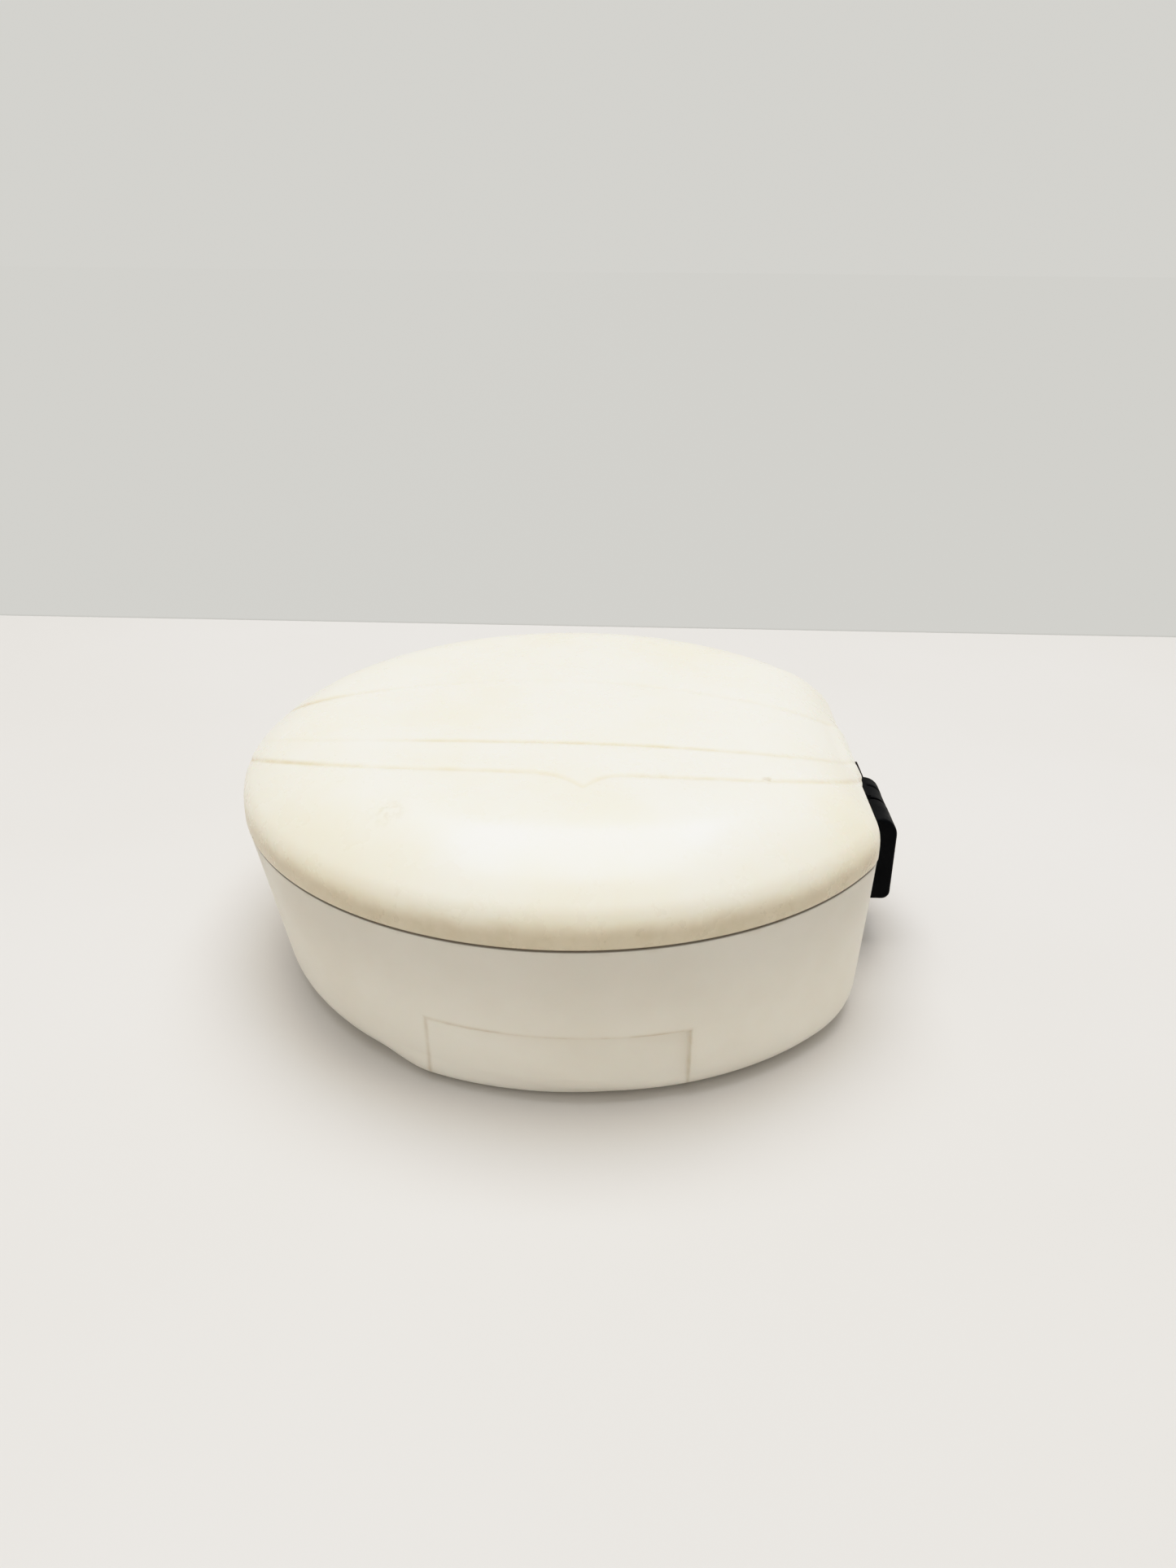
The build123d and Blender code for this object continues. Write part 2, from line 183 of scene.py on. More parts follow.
def boolean(obj, operation, low, high):
    """Cuts a block out of a mesh, or joins one to it. The limits are in millimetres."""
    work = bmesh.new()
    bmesh.ops.create_cube(work, size=1)
    low, high = Vector(low) * MM, Vector(high) * MM
    for v in work.verts:
        v.co = Vector(l + (h - l) * (c + 0.5) for l, h, c in zip(low, high, v.co))
    mesh = bpy.data.meshes.new("tool")
    work.to_mesh(mesh)
    work.free()
    tool = bpy.data.objects.new("tool", mesh)
    bpy.context.scene.collection.objects.link(tool)
    modifier = obj.modifiers.new("block", "BOOLEAN")
    modifier.object, modifier.operation, modifier.solver = tool, operation, "EXACT"
    bpy.context.view_layer.update()
    made = bpy.data.meshes.new_from_object(obj.evaluated_get(bpy.context.evaluated_depsgraph_get()))
    obj.modifiers.clear()
    obj.data = made
    bpy.data.objects.remove(tool)
    made.set_sharp_from_angle(angle=SHARP_ANGLE)


# ---------------------------------------------------------------- the D outline
def spread(low, high, step, marks=(), fine=0.06, reach=0.5):
    """Values from low to high every step, closer together near each mark."""
    values = list(np.linspace(low, high, max(2, math.ceil((high - low) / step))))
    for mark in marks:
        values += [v for v in np.arange(mark - reach, mark + reach, fine) if low < v < high]
    values = np.unique(np.round(values, 5))
    return values[np.r_[True, np.diff(values) > fine / 2]]


def corner_angle(radius, flat, corner):
    """The direction, from the circle's centre, in which the circle meets its rounded corner."""
    return math.acos((flat - corner) / (radius - corner))


TOP_ANGLE = corner_angle(CASE_RADIUS, FLAT_X, CORNER)
PANEL_WIDTH = 27.2
FOOT_WIDTH = 33.0
THUMB_WIDTH = 27.2


def mark_angles(radius, shift):
    """Where the panels', feet's and recess's ends lie on a circle, from the back round to the front."""
    across = [FOOT_WIDTH / 2, PANEL_WIDTH / 2, -PANEL_WIDTH / 2, -FOOT_WIDTH / 2]
    back = [math.acos((x - shift) / radius) for x in across]
    catch = [math.pi - math.asin(THUMB_WIDTH / 2 / radius), math.pi + math.asin(THUMB_WIDTH / 2 / radius)]
    return back + catch + [2 * math.pi - a for a in back[::-1]]


def round_angles(marks, step):
    """Angles round the circular side, closer together at the marks."""
    return spread(TOP_ANGLE, 2 * math.pi - TOP_ANGLE, step / CASE_RADIUS, marks,
                  fine=0.07 / CASE_RADIUS, reach=0.45 / CASE_RADIUS)


def d_outline(angles, radius, flat, corner, shift=0.0, corner_count=30, flat_count=80):
    """Points and outward normals round a circle cut by a chord with rounded corners."""
    corner = max(corner, 0.2)
    meet = corner_angle(radius, flat, corner)
    phi = np.interp(angles, [TOP_ANGLE, *mark_angles(CASE_RADIUS, 0), 2 * math.pi - TOP_ANGLE],
                    [meet, *mark_angles(radius, shift), 2 * math.pi - meet])
    cx, cy = flat - corner, math.sqrt((radius - corner) ** 2 - (flat - corner) ** 2)
    round_normals = np.c_[np.cos(phi), np.sin(phi)]
    low = np.linspace(-meet, 0, corner_count + 1)[1:]
    high = np.linspace(0, meet, corner_count + 1)[:-1]
    low_normals, high_normals = np.c_[np.cos(low), np.sin(low)], np.c_[np.cos(high), np.sin(high)]
    across = np.linspace(-cy, cy, flat_count + 1)[1:-1]
    points = np.vstack([round_normals * radius, low_normals * corner + (cx, -cy),
                        np.c_[np.full(len(across), flat), across], high_normals * corner + (cx, cy)])
    normals = np.vstack([round_normals, low_normals, np.tile((1.0, 0.0), (len(across), 1)), high_normals])
    points[:, 0] += shift
    return points, normals


def path_normals(path):
    """Unit normals to the left of a path's direction, as (inset, height)."""
    along = np.gradient(path, axis=0)
    along /= np.linalg.norm(along, axis=1)[:, None]
    return np.c_[along[:, 1], -along[:, 0]]


def inner_rings(ring, height, count):
    """Rings that shrink a flat outline to a point."""
    return [np.c_[ring[:, :2] * s, np.full(len(ring), height)] for s in np.linspace(1, 0.004, count)[1:]]


# ---------------------------------------------------------------- lid
LINE_SWEEP = 2.35         # how far the moulded lines run back for each millimetre the lid falls
FRONT_LINE_Y = -19.6
FRONT_LINE_DEPTH = 0.11
MIDDLE_LINE_X = -2.0
MIDDLE_LINE_Y = -11.3
REAR_LINE_X = -3.0
REAR_LINE_Y = 9.2
LINE_DEPTH = 0.1
LINE_WIDTH = 0.5
REAR_LINE_WIDTH = 0.6
STEP_HEIGHT = 0.05        # low step behind the front line
NOTCH_X = 2.0             # tip of the front line's small notch
NOTCH_DEPTH = 3.2
NOTCH_LEFT = 2.3
NOTCH_RIGHT = 1.7


def relief(x, y, z):
    """Height of the lid's three moulded lines, in millimetres, and how much soil each holds."""
    y = y - LINE_SWEEP * (LID_TOP - z)
    reach = np.where(x < NOTCH_X, NOTCH_LEFT, NOTCH_RIGHT)
    notch = NOTCH_DEPTH * np.exp(-(np.abs(x - NOTCH_X) / reach) ** 1.3)
    front = y - (FRONT_LINE_Y - np.where(x > 0, 0.045, 0.022) * x - notch)
    bow = np.where(x < MIDDLE_LINE_X, 0.0012, 0.0038)
    middle = y - (MIDDLE_LINE_Y - bow * (x - MIDDLE_LINE_X) ** 2)
    rear = y - (REAR_LINE_Y - 0.0105 * (x - REAR_LINE_X) ** 2)
    middle_fade = 0.25 + 0.75 * smooth(-24, -12, x) * (1 - 0.5 * smooth(10, 30, x))
    rear_fade = 0.35 + 0.65 * smooth(12, 32, np.abs(x - REAR_LINE_X))
    rear_fade = rear_fade * (1 - smooth(3.5, 6.0, LID_TOP - z))
    front_groove = np.exp(-(front / LINE_WIDTH) ** 2)
    middle_groove = np.exp(-(middle / LINE_WIDTH) ** 2) * middle_fade
    rear_groove = np.exp(-(rear / REAR_LINE_WIDTH) ** 2) * rear_fade
    step = smooth(-0.5, 0.5, front) - smooth(0.5, 5.0, front)
    height = (-FRONT_LINE_DEPTH * front_groove + STEP_HEIGHT * (step - 1)
              - LINE_DEPTH * middle_groove - LINE_DEPTH * rear_groove)
    soil = (front_groove * (0.6 + 0.4 * smooth(24, 34, -x)) + middle_groove * 0.75
            + rear_groove * (0.35 + 0.65 * smooth(22, 34, -x)))
    return height, soil


def lid_shoulder():
    """The lid's outer profile as (inset, height), from the flat middle to the parting line."""
    crown = np.linspace(0, SHOULDER_TURN, 60)
    edge = np.linspace(SHOULDER_TURN, math.pi / 2, 20)[1:]
    return np.vstack([
        np.c_[FLAT_INSET - CROWN_RADIUS * np.sin(crown), LID_TOP - CROWN_RADIUS * (1 - np.cos(crown))],
        np.c_[SHOULDER_RADIUS * (1 - np.sin(edge)), BAND_TOP + SHOULDER_RADIUS * np.cos(edge)],
    ])


def plate_swelling(points, height):
    """How far the lid swells over the hinge leaf's plate, on its flat side."""
    rise = bump(leaf_high[2] - 0.3, 1.6, 1.6, height) * bump(0, PLATE_COVER_HALF, 2.0, points[:, 1])
    return PLATE_COVER * rise * (points[:, 0] > FLAT_X - 6)


def build_lid():
    angles = round_angles((), 0.34)
    slope = (LID_TOP - LID_BOTTOM - SHOULDER_RISE) / SHOULDER_WIDTH
    inner_foot = LID_BOTTOM + SHOULDER_RISE - WALL * (math.hypot(1, slope) - slope)
    inner_end = SHOULDER_WIDTH + WALL * (math.hypot(1, slope) - 1) / slope
    outside = lid_shoulder()
    inside = rounded_path([
        (0, BAND_TOP, 0),
        (0, LID_BOTTOM, 0.18),
        (RIM_THICKNESS, LID_BOTTOM, 0.12),
        (RIM_THICKNESS, BOSS_Z, 0.1),
        (WALL, BOSS_Z, 0.12),
        (WALL, inner_foot, 0.6),
        (inner_end, LID_TOP - WALL, CEILING_EDGE),
        (inner_end + 2.5, LID_TOP - WALL, 0),
    ], step=0.4)[1:]
    path = np.vstack([outside, inside])
    rings, soil, gap_shade = [], [], []
    for k, ((inset, height), (out, up)) in enumerate(zip(path, path_normals(path))):
        points, normals = d_outline(angles, CASE_RADIUS - inset, FLAT_X - inset, CORNER - inset)
        raised, dirt = relief(points[:, 0], points[:, 1], height)
        fade = smooth(BAND_TOP - 1.0, BAND_TOP + 1.0, height) if k < len(outside) else 0.0
        swelling = plate_swelling(points, height) * (k < len(outside))
        outward = np.c_[normals * abs(out), np.full(len(points), abs(up))]
        ring = np.c_[points, np.full(len(points), height)]
        rings.append(ring + outward * (raised * fade + swelling)[:, None])
        soil.append(dirt * fade)
        # Painted shade: marks the lid's bottom edge at the parting line, painted dark where shade falls into
        # the gap
        gap_shade.append(np.full(len(points), float(inset < 0.5 and height < LID_BOTTOM + 0.1)))
    top_outline, _ = d_outline(angles, CASE_RADIUS - FLAT_INSET, FLAT_X - FLAT_INSET, CORNER - FLAT_INSET)
    top, top_soil = [], []
    for ring in inner_rings(top_outline, LID_TOP, 90)[::-1]:
        raised, dirt = relief(ring[:, 0], ring[:, 1], LID_TOP)
        top.append(ring + np.c_[np.zeros((len(ring), 2)), raised])
        top_soil.append(dirt)
    ceiling = inner_rings(rings[-1], LID_TOP - WALL, 20)
    clean_top, clean_ceiling = ([np.zeros(len(ring)) for ring in part] for part in (top, ceiling))
    lid = ring_object("lid", top + rings + ceiling, {
        "soil": np.concatenate(top_soil + soil + clean_ceiling),
        "gap_shade": np.concatenate(clean_top + gap_shade + clean_ceiling),
    })
    boss_x = leaf_screw_low[0] + HEAD_HEIGHT
    boss_top = inner_foot + slope * (FLAT_X - WALL - boss_x) + 0.15
    boolean(lid, "UNION", (boss_x, bracket_low[1], BOSS_Z), (FLAT_X - WALL + 0.2, bracket_high[1], boss_top))
    low, high = (leaf_low[0] - FIT, leaf_low[1] - FIT, LID_BOTTOM - 1), leaf_high[1] + FIT
    boolean(lid, "DIFFERENCE", low, (FLAT_X - PLATE_SKIN + FIT, high, leaf_high[2] + FIT))
    boolean(lid, "DIFFERENCE", low, (FLAT_X + 1, high, BOSS_Z + PLATE_STEP + FIT))
    return lid


# ---------------------------------------------------------------- base
PANEL_TOP = BASE_TOP - 11.0
PANEL_RADIUS = CASE_RADIUS - 1.7
FOOT_RADIUS = CASE_RADIUS - 2.4
FOOT_EDGE = 2.5
FOOT_TOP = 3.5
THUMB_TOP = BASE_TOP - 1.5
THUMB_BOTTOM = THUMB_TOP - 10.5
THUMB_DEPTH = 0.9
SCREW_BOSS_HALF = 2.6


def shape_base_wall(points, height):
    """Moves a ring of the base's outer wall for its grip panels, feet and thumb recess."""
    radius = np.hypot(points[:, 0], points[:, 1])
    x, y = points.T
    round_side = np.abs(y) > CASE_RADIUS / 2
    new = radius.copy()
    on_panel = bump(0, PANEL_WIDTH / 2, 0.3, x) * round_side
    on_panel = on_panel * (1 - smooth(PANEL_TOP - 0.3, PANEL_TOP, height))
    new = new + on_panel * (np.minimum(new, PANEL_RADIUS) - new)
    on_foot = bump(0, FOOT_WIDTH / 2, 7.0, x) * round_side * (1 - smooth(FOOT_TOP - 0.3, FOOT_TOP, height))
    drop = max(FOOT_EDGE - height, 0)
    foot = FOOT_RADIUS - FOOT_EDGE + math.sqrt(max(FOOT_EDGE ** 2 - drop ** 2, 0))
    new = new + on_foot * (np.maximum(new, foot) - new)
    on_thumb = bump(0, THUMB_WIDTH / 2, 0.3, y) * (x < 0)
    on_thumb = on_thumb * smooth(THUMB_BOTTOM - 0.15, THUMB_BOTTOM + 0.3, height)
    on_thumb = on_thumb * (1 - smooth(THUMB_TOP - 0.3, THUMB_TOP + 0.15, height))
    new = new - on_thumb * THUMB_DEPTH
    return points * (new / radius)[:, None]


def panel_edge(points, height):
    """1 on a grip panel's outline, falling to 0 beside it."""
    beyond = np.maximum(np.abs(points[:, 0]) - PANEL_WIDTH / 2, height - PANEL_TOP)
    return np.exp(-(beyond / 0.22) ** 2) * (np.abs(points[:, 1]) > CASE_RADIUS / 2)


def build_base():
    angles = round_angles(mark_angles(CASE_RADIUS, 0), 0.5)
    ledge = RIM_THICKNESS + LIP_GAP - BASE_INSET
    path = rounded_path([
        (BASE_EDGE, 0, 0),
        (0, 0, BASE_EDGE - 0.001),
        (0, BASE_TOP, 0.22),
        (ledge, BASE_TOP, 0.12),
        (ledge, BASE_TOP + LIP_HEIGHT, 0.2),
        (WALL, BASE_TOP + LIP_HEIGHT, 0.2),
        (WALL, FLOOR, CAVITY_EDGE),
        (WALL + CAVITY_EDGE + 0.3, FLOOR, 0),
    ], step=0.5)
    wall_end = np.argmax(path[:, 1] >= BASE_TOP - 0.01)
    extra = spread(BASE_EDGE, BASE_TOP - 0.5, 0.5, (PANEL_TOP, THUMB_TOP, THUMB_BOTTOM), fine=0.08)
    wall = np.array([p for p in path[:wall_end] if not BASE_EDGE < p[1] < BASE_TOP - 0.4]
                    + [(0.0, h) for h in extra])
    wall = wall[np.lexsort((-wall[:, 0], wall[:, 1]))]
    rings, edge, gap_shade = [], [], []
    for k, (inset, height) in enumerate(np.vstack([wall, path[wall_end:]])):
        down = 1 - min(height, BASE_TOP) / BASE_TOP
        shift = (CATCH_DRAFT - SIDE_DRAFT) * down
        radius = CASE_RADIUS - BASE_INSET - SIDE_DRAFT * down - inset
        flat = FLAT_X - BASE_INSET - FLAT_DRAFT * down - inset - shift
        corner = CORNER + CORNER_GROWTH * down - inset
        points, _ = d_outline(angles, radius, flat, corner, shift)
        if k < len(wall):
            points = shape_base_wall(points, height)
        rings.append(np.c_[points, np.full(len(points), height)])
        edge.append(panel_edge(points, height) * (k < len(wall)))
        # Painted shade: marks the base's top edge at the parting line, painted dark where shade falls into
        # the gap
        on_gap = inset < 0.5 and BASE_TOP - 0.12 < height < BASE_TOP + 0.01
        gap_shade.append(np.full(len(points), float(on_gap)))
    under, floor = inner_rings(rings[0], 0.0, 12)[::-1], inner_rings(rings[-1], FLOOR, 30)
    clean_under, clean_floor = ([np.zeros(len(ring)) for ring in part] for part in (under, floor))
    base = ring_object("base", under + rings + floor, {
        "edge": np.concatenate(clean_under + edge + clean_floor),
        "gap_shade": np.concatenate(clean_under + gap_shade + clean_floor),
    })
    middle_z = (bracket_screw_low[2] + bracket_screw_high[2]) / 2
    boolean(base, "UNION", (bracket_screw_low[0] + HEAD_HEIGHT, bracket_low[1], middle_z - SCREW_BOSS_HALF),
            (FLAT_X - WALL + 0.4, bracket_high[1], middle_z + SCREW_BOSS_HALF))
    return base


# ---------------------------------------------------------------- materials
def srgb(r, g, b):
    """Linear colour from 0 to 255 display values."""
    return tuple((c / 12.92 if c <= 0.04045 else ((c + 0.055) / 1.055) ** 2.4)
                 for c in (r / 255, g / 255, b / 255)) + (1.0,)


class Nodes:
    """Short calls for building one material's node tree."""

    def __init__(self, name):
        self.material = bpy.data.materials.new(name)
        self.material.use_nodes = True
        self.tree = self.material.node_tree
        self.shader = self.tree.nodes["Principled BSDF"]
        self.place = self.new("ShaderNodeTexCoord").outputs["Object"]

    def new(self, kind, **values):
        node = self.tree.nodes.new(kind)
        for key, value in values.items():
            setattr(node, key, value)
        return node

    def link(self, output, target):
        self.tree.links.new(output, target)

    def put(self, node, **inputs):
        for key, value in inputs.items():
            socket = node.inputs[key.replace("_", " ")]
            if isinstance(value, bpy.types.NodeSocket):
                self.link(value, socket)
            else:
                socket.default_value = value
        return node

    def noise(self, scale, detail=3.0, roughness=0.55, stretch=(1, 1, 1)):
        mapping = self.new("ShaderNodeMapping")
        mapping.inputs["Scale"].default_value = stretch
        self.link(self.place, mapping.inputs["Vector"])
        node = self.put(self.new("ShaderNodeTexNoise"), Vector=mapping.outputs["Vector"], Scale=scale,
                        Detail=detail, Roughness=roughness)
        return node.outputs["Fac"]

    def ramp(self, value, low, high, to_low=0.0, to_high=1.0):
        node = self.put(self.new("ShaderNodeMapRange", interpolation_type="SMOOTHSTEP"), Value=value)
        node.inputs["From Min"].default_value, node.inputs["From Max"].default_value = low, high
        node.inputs["To Min"].default_value, node.inputs["To Max"].default_value = to_low, to_high
        return node.outputs["Result"]

    def math(self, operation, a, b=0.0):
        node = self.new("ShaderNodeMath", operation=operation)
        for socket, value in zip(node.inputs, (a, b)):
            if isinstance(value, bpy.types.NodeSocket):
                self.link(value, socket)
            else:
                socket.default_value = value
        return node.outputs[0]

    def mix(self, factor, a, b):
        node = self.new("ShaderNodeMix", data_type="RGBA")
        for socket, value in ((node.inputs[0], factor), (node.inputs[6], a), (node.inputs[7], b)):
            if isinstance(value, bpy.types.NodeSocket):
                self.link(value, socket)
            else:
                socket.default_value = value
        return node.outputs[2]

    def axis(self, index):
        node = self.new("ShaderNodeSeparateXYZ")
        self.link(self.place, node.inputs[0])
        return node.outputs[index]

    def attribute(self, name):
        return self.new("ShaderNodeAttribute", attribute_name=name).outputs["Fac"]

    def bumps(self, *layers):
        """Chains bump layers of (height, strength, distance in metres)."""
        normal = None
        for height, strength, distance in layers:
            node = self.put(self.new("ShaderNodeBump"), Height=height, Strength=strength, Distance=distance)
            if normal is not None:
                self.link(normal, node.inputs["Normal"])
            normal = node.outputs["Normal"]
        self.link(normal, self.shader.inputs["Normal"])


def spot(nodes, x, y, radius, feather):
    """1 inside a small upright column at x, y in millimetres, fading over feather."""
    dx = nodes.math("SUBTRACT", nodes.axis(0), x * MM)
    dy = nodes.math("SUBTRACT", nodes.axis(1), y * MM)
    squares = nodes.math("ADD", nodes.math("MULTIPLY", dx, dx), nodes.math("MULTIPLY", dy, dy))
    distance = nodes.math("SQRT", squares)
    return nodes.ramp(distance, (radius - feather) * MM, (radius + feather) * MM, 1.0, 0.0)


# Smudges on the lid: x, y and radius in millimetres, and strength
SMUDGES = ((9.8, FRONT_LINE_Y, 1.3, 0.1), (21.6, -20.0, 0.6, 0.35), (-17.5, -27.8, 1.5, 0.16))


def lid_material():
    n = Nodes("lid_plastic")
    cream, warm, yellowed_and_shaded = srgb(248, 241, 224), srgb(246, 236, 213), srgb(204, 190, 158)
    soil_colour = srgb(196, 168, 116)
    colour = n.mix(n.ramp(n.noise(55, 4), 0.35, 0.7), cream, warm)
    # Lower rim band: partly the plastic's real yellowing, partly painted shade that darkens the rim below
    # the shoulder
    above_rim = n.math("SUBTRACT", n.axis(2), LID_BOTTOM * MM)
    ragged = n.math("MULTIPLY", n.math("SUBTRACT", n.noise(240, 4, 0.6), 0.5), 0.0012)
    band = n.ramp(n.math("ADD", above_rim, ragged), 0.0012, 0.0034, 1.0, 0.0)
    mottled = n.ramp(n.noise(320, 5, 0.65), 0.3, 0.72, 0.8, 1.0)
    colour = n.mix(n.math("MULTIPLY", n.math("MULTIPLY", band, mottled), 0.85), colour, yellowed_and_shaded)
    # Painted shade: dark brown along the lid's edge at the parting gap
    colour = n.mix(n.math("MULTIPLY", n.attribute("gap_shade"), 0.75), colour, srgb(110, 92, 66))
    soil = n.math("MULTIPLY", n.attribute("soil"), n.ramp(n.noise(300, 4), 0.3, 0.7, 0.5, 1.0))
    colour = n.mix(n.math("MULTIPLY", soil, 0.6), colour, soil_colour)
    for x, y, radius, strength in SMUDGES:
        patch = n.math("MULTIPLY", spot(n, x, y, radius, radius * 0.6), n.ramp(n.noise(1500, 3), 0.42, 0.62))
        colour = n.mix(n.math("MULTIPLY", patch, strength), colour, srgb(120, 104, 84))
    n.put(n.shader, Base_Color=colour, Roughness=n.ramp(n.noise(180, 5, 0.6), 0.3, 0.8, 0.24, 0.36))
    n.put(n.shader, IOR=1.5, Coat_Weight=0.12, Coat_Roughness=0.16, Subsurface_Weight=0.08,
          Subsurface_Scale=0.002)
    n.bumps((n.noise(90, 2), 0.04, 0.0003), (n.noise(1600, 2), 0.02, 0.00004))
    return n.material


def base_material():
    n = Nodes("base_plastic")
    colour = n.mix(n.ramp(n.noise(60, 4), 0.35, 0.7), srgb(245, 240, 228), srgb(240, 234, 220))
    specks = n.ramp(n.noise(900, 2, 0.4), 0.79, 0.83)
    colour = n.mix(n.math("MULTIPLY", specks, 0.35), colour, srgb(146, 124, 96))
    under_parting = n.math("SUBTRACT", BASE_TOP * MM, n.axis(2))
    near_parting = n.ramp(under_parting, 0.0, 0.0009, 1.0, 0.0)
    dust = n.math("MULTIPLY", near_parting, n.ramp(n.noise(420, 5), 0.45, 0.75))
    colour = n.mix(n.math("MULTIPLY", dust, 0.25), colour, srgb(178, 152, 110))
    # Painted shade: dark brown along the base's edge at the parting gap
    colour = n.mix(n.math("MULTIPLY", n.attribute("gap_shade"), 0.8), colour, srgb(96, 80, 58))
    edge = n.math("MULTIPLY", n.attribute("edge"), n.ramp(n.noise(260, 4), 0.3, 0.7, 0.3, 1.0))
    colour = n.mix(n.math("MULTIPLY", edge, 0.5), colour, srgb(186, 164, 118))
    # Painted shade: the wall is darker towards the top, where the lid's overhang shades it
    shade = n.ramp(n.axis(2), 0.004, BASE_TOP * MM, 0.0, 0.24)
    colour = n.mix(shade, colour, srgb(120, 114, 100))
    n.put(n.shader, Base_Color=colour, Roughness=n.ramp(n.noise(150, 4), 0.3, 0.75, 0.36, 0.5))
    n.put(n.shader, IOR=1.48, Subsurface_Weight=0.06, Subsurface_Scale=0.002)
    n.bumps((n.noise(100, 2), 0.1, 0.0004), (n.noise(3200, 3, 0.7), 0.14, 0.00008))
    return n.material


def hinge_material():
    n = Nodes("hinge_plastic")
    colour = n.mix(n.ramp(n.noise(400, 4), 0.35, 0.7), srgb(4, 5, 7), srgb(8, 9, 11))
    dust = n.ramp(n.noise(2400, 4, 0.7), 0.66, 0.8)
    colour = n.mix(n.math("MULTIPLY", dust, 0.12), colour, srgb(88, 86, 84))
    n.put(n.shader, Base_Color=colour, Roughness=n.ramp(n.noise(500, 4), 0.3, 0.7, 0.42, 0.56))
    n.put(n.shader, IOR=1.47, Specular_IOR_Level=0.04)
    n.bumps((n.noise(3600, 3, 0.6), 0.25, 0.00006))
    return n.material


def steel_material():
    n = Nodes("steel")
    streaks = n.noise(900, 4, 0.6, stretch=(1, 0.06, 1))
    colour = n.mix(n.ramp(streaks, 0.3, 0.7), srgb(176, 176, 174), srgb(206, 206, 204))
    n.put(n.shader, Base_Color=colour, Metallic=1.0, Roughness=n.ramp(streaks, 0.3, 0.7, 0.22, 0.4))
    n.bumps((streaks, 0.1, 0.00004))
    return n.material


def guard_shell_material():
    n = Nodes("guard_shell")
    colour = n.mix(n.ramp(n.noise(120, 4), 0.35, 0.7), srgb(26, 29, 36), srgb(33, 37, 45))
    n.put(n.shader, Base_Color=colour, Roughness=n.ramp(n.noise(300, 4), 0.3, 0.7, 0.34, 0.5))
    n.put(n.shader, IOR=1.49, Sheen_Weight=0.05)
    n.bumps((n.noise(180, 3), 0.15, 0.0004), (n.noise(3000, 3, 0.6), 0.18, 0.00006))
    return n.material


def guard_liner_material():
    n = Nodes("guard_liner")
    colour = n.mix(n.ramp(n.noise(140, 4), 0.35, 0.7), srgb(232, 231, 224), srgb(222, 220, 208))
    n.put(n.shader, Base_Color=colour, Roughness=n.ramp(n.noise(260, 4), 0.3, 0.7, 0.24, 0.38))
    n.put(n.shader, IOR=1.46, Subsurface_Weight=0.35, Subsurface_Scale=0.003)
    n.bumps((n.noise(160, 3), 0.2, 0.0005), (n.noise(2400, 3), 0.08, 0.00005))
    return n.material


# ---------------------------------------------------------------- mouthguard
GUARD_REAR = guard_high[0]
GUARD_LENGTH = GUARD_REAR - guard_low[0]
GUARD_HALF = guard_high[1]
GUARD_FLOOR = guard_low[2]
GUARD_HEIGHT = guard_high[2] - guard_low[2]
GUARD_ACROSS = 13.0       # the tray's width, from the tongue side to the lip side
TONGUE_WALL = 11.0
TONGUE_DROP = 2.0         # how much lower the tongue side is at the rear
LIP_DROP = 4.6            # how much lower the lip side is at the rear
NOTCH_DROP = 2.6          # notch for the lip's cord at the front
NOTCH_HALF = 3.2
LIP_LEAN = 0.5
BITE_CORNER = 2.4
SHELL_HALF = 1.0          # half the shell's thickness
LINER_HALF = 0.75
END_STEPS = (0.0, 0.08, 0.25, 0.5, 0.75)


def arch_point(theta, across, up):
    """A point across the bite, from the tongue side outwards, at an angle round the arch."""
    a = GUARD_LENGTH - GUARD_ACROSS + across
    b = GUARD_HALF - GUARD_ACROSS + across
    return np.stack([GUARD_REAR + a * np.cos(theta), b * np.sin(theta), GUARD_FLOOR + up], -1)


def u_skeleton(theta, inset, half):
    """The middle line of a U-shaped layer at one place on the arch, as (across, up)."""
    forward = abs(math.cos(theta))
    front = smooth(0.55, 1.0, forward)
    lip_top = GUARD_HEIGHT - half - LIP_DROP * (1 - smooth(0.0, 0.75, forward)) - inset * 0.25
    lip_top -= NOTCH_DROP * math.exp(-(math.sin(theta) * GUARD_HALF / NOTCH_HALF) ** 2) * front
    tongue_top = TONGUE_WALL - half - TONGUE_DROP * (1 - smooth(0.1, 0.8, forward)) - inset * 0.25
    low = half + inset
    tongue, lip = half + inset, GUARD_ACROSS - half - inset
    corner = max(BITE_CORNER - inset, 0.6)
    return rounded_path([(tongue + 0.2, tongue_top, 0), (tongue, low, corner), (lip - LIP_LEAN, low, corner),
                         (lip, lip_top, 0)], step=0.45)


def resample(path, count):
    """The same path with its points evenly spaced."""
    length = np.r_[0, np.cumsum(np.linalg.norm(np.diff(path, axis=0), axis=1))]
    at = np.linspace(0, length[-1], count)
    return np.c_[np.interp(at, length, path[:, 0]), np.interp(at, length, path[:, 1])]


def layer_section(theta, inset, half, thin):
    """The closed outline of a U-shaped layer with round tips."""
    line = resample(u_skeleton(theta, inset, half), 64)
    normals = path_normals(line)
    h = half * thin
    end = line[-1] - line[-2]
    end /= np.linalg.norm(end)
    begin = line[0] - line[1]
    begin /= np.linalg.norm(begin)
    turns = np.linspace(0, math.pi, 9)[1:-1]
    end_cap = [line[-1] + h * (-math.cos(c) * normals[-1] + math.sin(c) * end) for c in turns]
    begin_cap = [line[0] + h * (math.cos(c) * normals[0] + math.sin(c) * begin) for c in turns]
    return np.vstack([line - normals * h, end_cap, (line + normals * h)[::-1], begin_cap])


